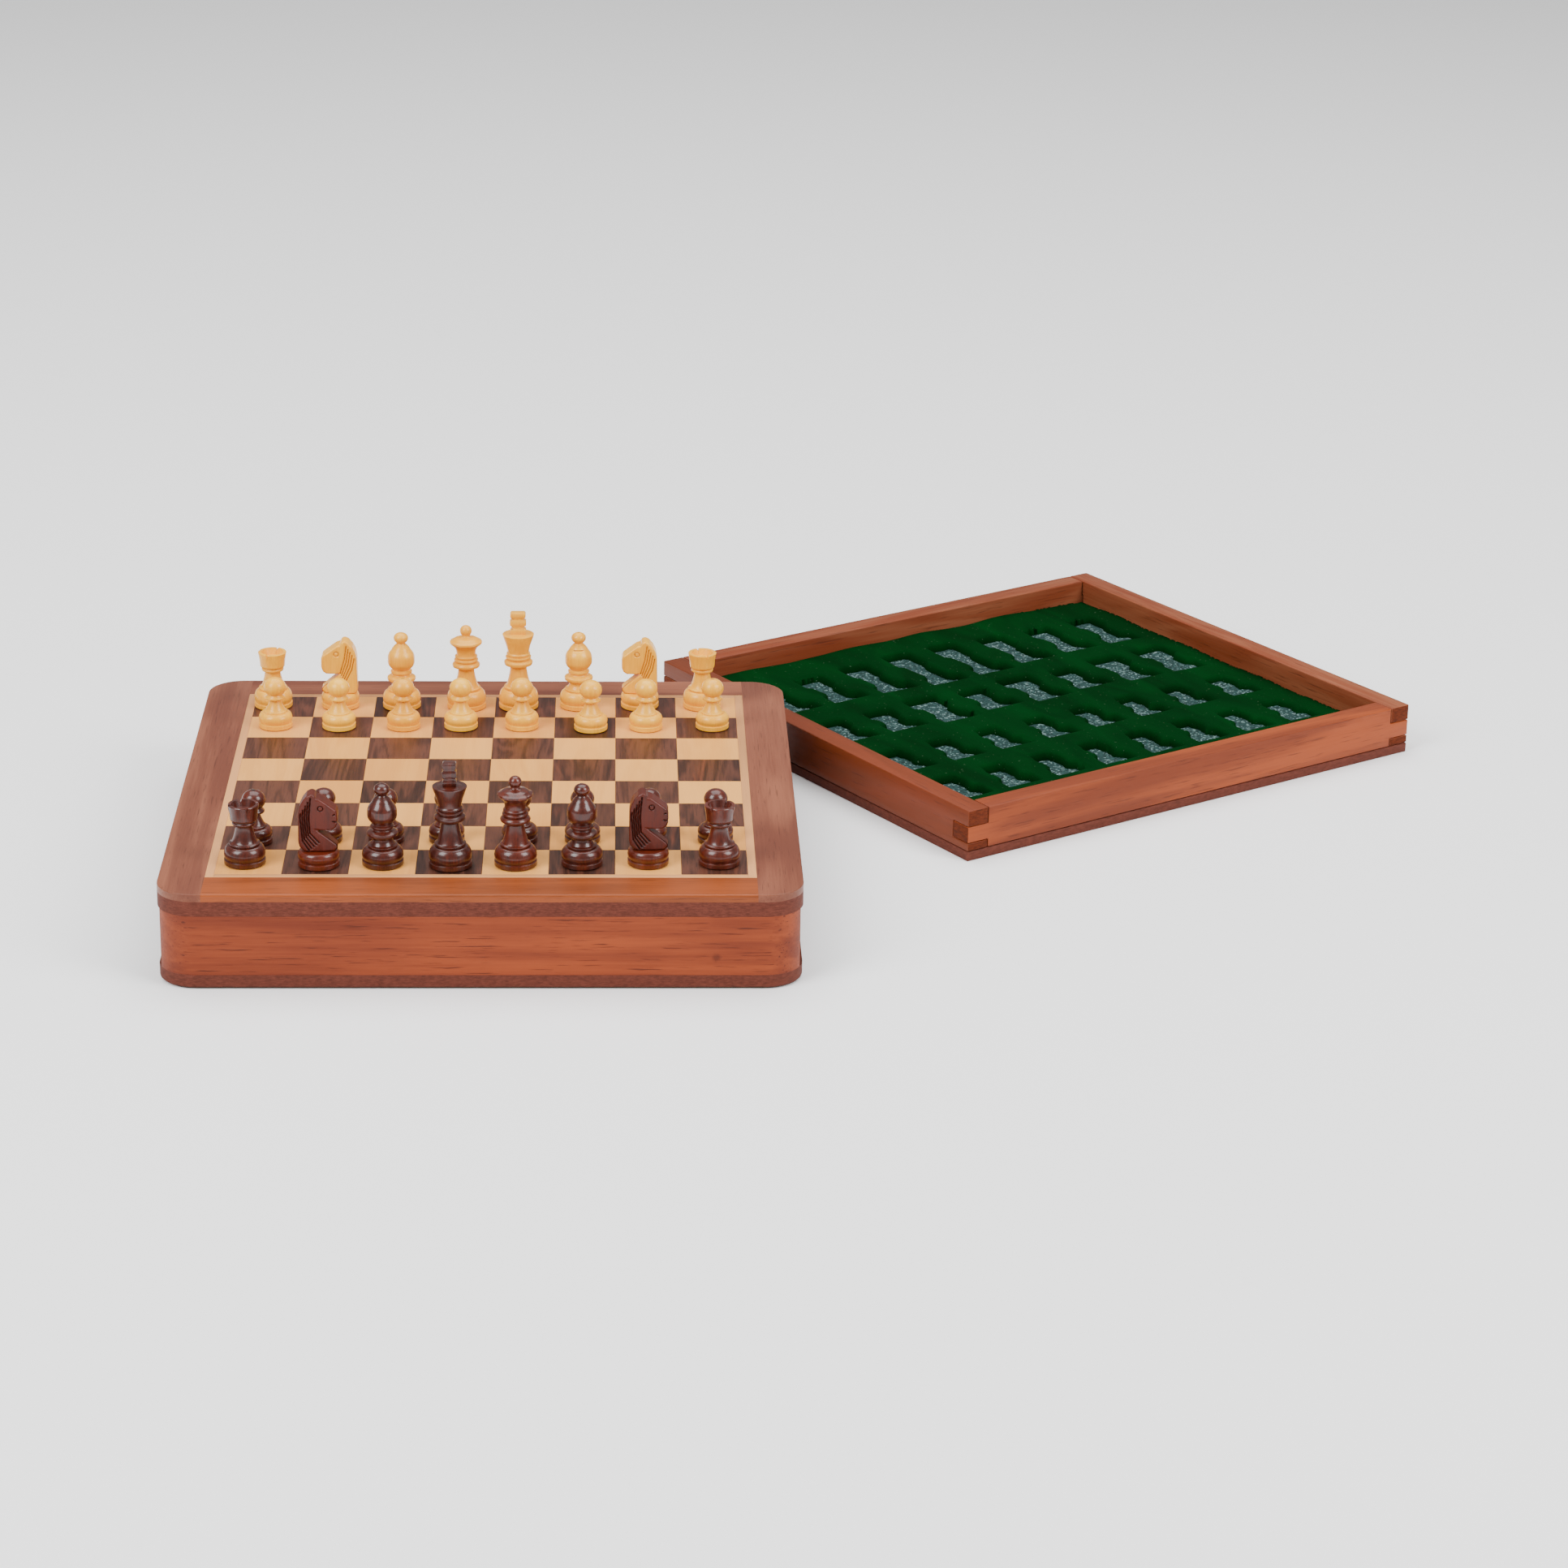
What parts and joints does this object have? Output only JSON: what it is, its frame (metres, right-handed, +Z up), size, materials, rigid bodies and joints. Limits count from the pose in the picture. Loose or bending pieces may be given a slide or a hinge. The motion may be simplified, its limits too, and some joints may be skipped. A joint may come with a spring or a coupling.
{
  "type": "travel chess set with board",
  "caption": "Magnetic travel chess set: board-topped wooden box with a slide-out felt-lined tray, set up with turned dark and light chessmen.",
  "frame": {"origin": "centre of the box's underside, on the face of its base felt", "axes": "+Z up through the board, +Y away from the player of the dark men, +X to that player's right; the withdrawn tray stands towards +X +Y"},
  "size_m": [0.5416, 0.4705, 0.0836],
  "materials": {
    "rail_wood": "polished",
    "border_maple": "polished",
    "veneer": "polished, rosewood and maple squares",
    "steel": "plain sheet under the veneer",
    "panel_board": "stained fibreboard, satin",
    "box_wood": "satin lacquer",
    "felt": "matt green felt",
    "tray_wood": "satin lacquer",
    "foam": "speckled foam",
    "velvet": "green velvet",
    "dark_wood": "gloss lacquer",
    "light_wood": "satin lacquer"
  },
  "bodies": {
    "box": {"base_felt": "felt", "bottom_panel": "panel_board", "front_wall": "box_wood", "back_wall": "box_wood", "top_panel": "panel_board", "steel_sheet": "steel", "playing_field": "veneer", "border_front": "border_maple", "border_back": "border_maple", "border_left": "border_maple", "border_right": "border_maple", "rail_front": "rail_wood", "rail_back": "rail_wood", "rail_left": "rail_wood", "rail_right": "rail_wood"},
    "tray": {"tray_bottom": "panel_board", "tray_side_near": "tray_wood", "tray_side_far": "tray_wood", "tray_end_near": "tray_wood", "tray_end_far": "tray_wood", "foam_base": "foam", "velvet_liner": "velvet"},
    "dark_pawn_1": {"dark_pawn_1": "dark_wood"},
    "dark_pawn_2": {"dark_pawn_2": "dark_wood"},
    "dark_pawn_3": {"dark_pawn_3": "dark_wood"},
    "dark_pawn_4": {"dark_pawn_4": "dark_wood"},
    "dark_pawn_5": {"dark_pawn_5": "dark_wood"},
    "dark_pawn_6": {"dark_pawn_6": "dark_wood"},
    "dark_pawn_7": {"dark_pawn_7": "dark_wood"},
    "dark_pawn_8": {"dark_pawn_8": "dark_wood"},
    "dark_rook_1": {"dark_rook_1": "dark_wood"},
    "dark_rook_2": {"dark_rook_2": "dark_wood"},
    "dark_knight_1": {"dark_knight_1_base": "dark_wood", "dark_knight_1_head": "dark_wood"},
    "dark_knight_2": {"dark_knight_2_base": "dark_wood", "dark_knight_2_head": "dark_wood"},
    "dark_bishop_1": {"dark_bishop_1": "dark_wood"},
    "dark_bishop_2": {"dark_bishop_2": "dark_wood"},
    "dark_queen": {"dark_queen": "dark_wood"},
    "dark_king": {"dark_king": "dark_wood"},
    "light_pawn_1": {"light_pawn_1": "light_wood"},
    "light_pawn_2": {"light_pawn_2": "light_wood"},
    "light_pawn_3": {"light_pawn_3": "light_wood"},
    "light_pawn_4": {"light_pawn_4": "light_wood"},
    "light_pawn_5": {"light_pawn_5": "light_wood"},
    "light_pawn_6": {"light_pawn_6": "light_wood"},
    "light_pawn_7": {"light_pawn_7": "light_wood"},
    "light_pawn_8": {"light_pawn_8": "light_wood"},
    "light_rook_1": {"light_rook_1": "light_wood"},
    "light_rook_2": {"light_rook_2": "light_wood"},
    "light_knight_1": {"light_knight_1_base": "light_wood", "light_knight_1_head": "light_wood"},
    "light_knight_2": {"light_knight_2_base": "light_wood", "light_knight_2_head": "light_wood"},
    "light_bishop_1": {"light_bishop_1": "light_wood"},
    "light_bishop_2": {"light_bishop_2": "light_wood"},
    "light_queen": {"light_queen": "light_wood"},
    "light_king": {"light_king": "light_wood"}
  },
  "joints": [
    {"name": "tray_slide", "type": "slide", "parent": "box", "child": "tray", "axis": [0.8387, 0.5446, 0], "range_m": [0, 0.254]},
    {"name": "dark_pawn_1_lift", "type": "slide", "parent": "box", "child": "dark_pawn_1", "axis": [0, 0, 1], "range_m": [0, 0.06]},
    {"name": "dark_pawn_2_lift", "type": "slide", "parent": "box", "child": "dark_pawn_2", "axis": [0, 0, 1], "range_m": [0, 0.06]},
    {"name": "dark_pawn_3_lift", "type": "slide", "parent": "box", "child": "dark_pawn_3", "axis": [0, 0, 1], "range_m": [0, 0.06]},
    {"name": "dark_pawn_4_lift", "type": "slide", "parent": "box", "child": "dark_pawn_4", "axis": [0, 0, 1], "range_m": [0, 0.06]},
    {"name": "dark_pawn_5_lift", "type": "slide", "parent": "box", "child": "dark_pawn_5", "axis": [0, 0, 1], "range_m": [0, 0.06]},
    {"name": "dark_pawn_6_lift", "type": "slide", "parent": "box", "child": "dark_pawn_6", "axis": [0, 0, 1], "range_m": [0, 0.06]},
    {"name": "dark_pawn_7_lift", "type": "slide", "parent": "box", "child": "dark_pawn_7", "axis": [0, 0, 1], "range_m": [0, 0.06]},
    {"name": "dark_pawn_8_lift", "type": "slide", "parent": "box", "child": "dark_pawn_8", "axis": [0, 0, 1], "range_m": [0, 0.06]},
    {"name": "dark_rook_1_lift", "type": "slide", "parent": "box", "child": "dark_rook_1", "axis": [0, 0, 1], "range_m": [0, 0.06]},
    {"name": "dark_rook_2_lift", "type": "slide", "parent": "box", "child": "dark_rook_2", "axis": [0, 0, 1], "range_m": [0, 0.06]},
    {"name": "dark_knight_1_lift", "type": "slide", "parent": "box", "child": "dark_knight_1", "axis": [0, 0, 1], "range_m": [0, 0.06]},
    {"name": "dark_knight_2_lift", "type": "slide", "parent": "box", "child": "dark_knight_2", "axis": [0, 0, 1], "range_m": [0, 0.06]},
    {"name": "dark_bishop_1_lift", "type": "slide", "parent": "box", "child": "dark_bishop_1", "axis": [0, 0, 1], "range_m": [0, 0.06]},
    {"name": "dark_bishop_2_lift", "type": "slide", "parent": "box", "child": "dark_bishop_2", "axis": [0, 0, 1], "range_m": [0, 0.06]},
    {"name": "dark_queen_lift", "type": "slide", "parent": "box", "child": "dark_queen", "axis": [0, 0, 1], "range_m": [0, 0.06]},
    {"name": "dark_king_lift", "type": "slide", "parent": "box", "child": "dark_king", "axis": [0, 0, 1], "range_m": [0, 0.06]},
    {"name": "light_pawn_1_lift", "type": "slide", "parent": "box", "child": "light_pawn_1", "axis": [0, 0, 1], "range_m": [0, 0.06]},
    {"name": "light_pawn_2_lift", "type": "slide", "parent": "box", "child": "light_pawn_2", "axis": [0, 0, 1], "range_m": [0, 0.06]},
    {"name": "light_pawn_3_lift", "type": "slide", "parent": "box", "child": "light_pawn_3", "axis": [0, 0, 1], "range_m": [0, 0.06]},
    {"name": "light_pawn_4_lift", "type": "slide", "parent": "box", "child": "light_pawn_4", "axis": [0, 0, 1], "range_m": [0, 0.06]},
    {"name": "light_pawn_5_lift", "type": "slide", "parent": "box", "child": "light_pawn_5", "axis": [0, 0, 1], "range_m": [0, 0.06]},
    {"name": "light_pawn_6_lift", "type": "slide", "parent": "box", "child": "light_pawn_6", "axis": [0, 0, 1], "range_m": [0, 0.06]},
    {"name": "light_pawn_7_lift", "type": "slide", "parent": "box", "child": "light_pawn_7", "axis": [0, 0, 1], "range_m": [0, 0.06]},
    {"name": "light_pawn_8_lift", "type": "slide", "parent": "box", "child": "light_pawn_8", "axis": [0, 0, 1], "range_m": [0, 0.06]},
    {"name": "light_rook_1_lift", "type": "slide", "parent": "box", "child": "light_rook_1", "axis": [0, 0, 1], "range_m": [0, 0.06]},
    {"name": "light_rook_2_lift", "type": "slide", "parent": "box", "child": "light_rook_2", "axis": [0, 0, 1], "range_m": [0, 0.06]},
    {"name": "light_knight_1_lift", "type": "slide", "parent": "box", "child": "light_knight_1", "axis": [0, 0, 1], "range_m": [0, 0.06]},
    {"name": "light_knight_2_lift", "type": "slide", "parent": "box", "child": "light_knight_2", "axis": [0, 0, 1], "range_m": [0, 0.06]},
    {"name": "light_bishop_1_lift", "type": "slide", "parent": "box", "child": "light_bishop_1", "axis": [0, 0, 1], "range_m": [0, 0.06]},
    {"name": "light_bishop_2_lift", "type": "slide", "parent": "box", "child": "light_bishop_2", "axis": [0, 0, 1], "range_m": [0, 0.06]},
    {"name": "light_queen_lift", "type": "slide", "parent": "box", "child": "light_queen", "axis": [0, 0, 1], "range_m": [0, 0.06]},
    {"name": "light_king_lift", "type": "slide", "parent": "box", "child": "light_king", "axis": [0, 0, 1], "range_m": [0, 0.06]}
  ]
}
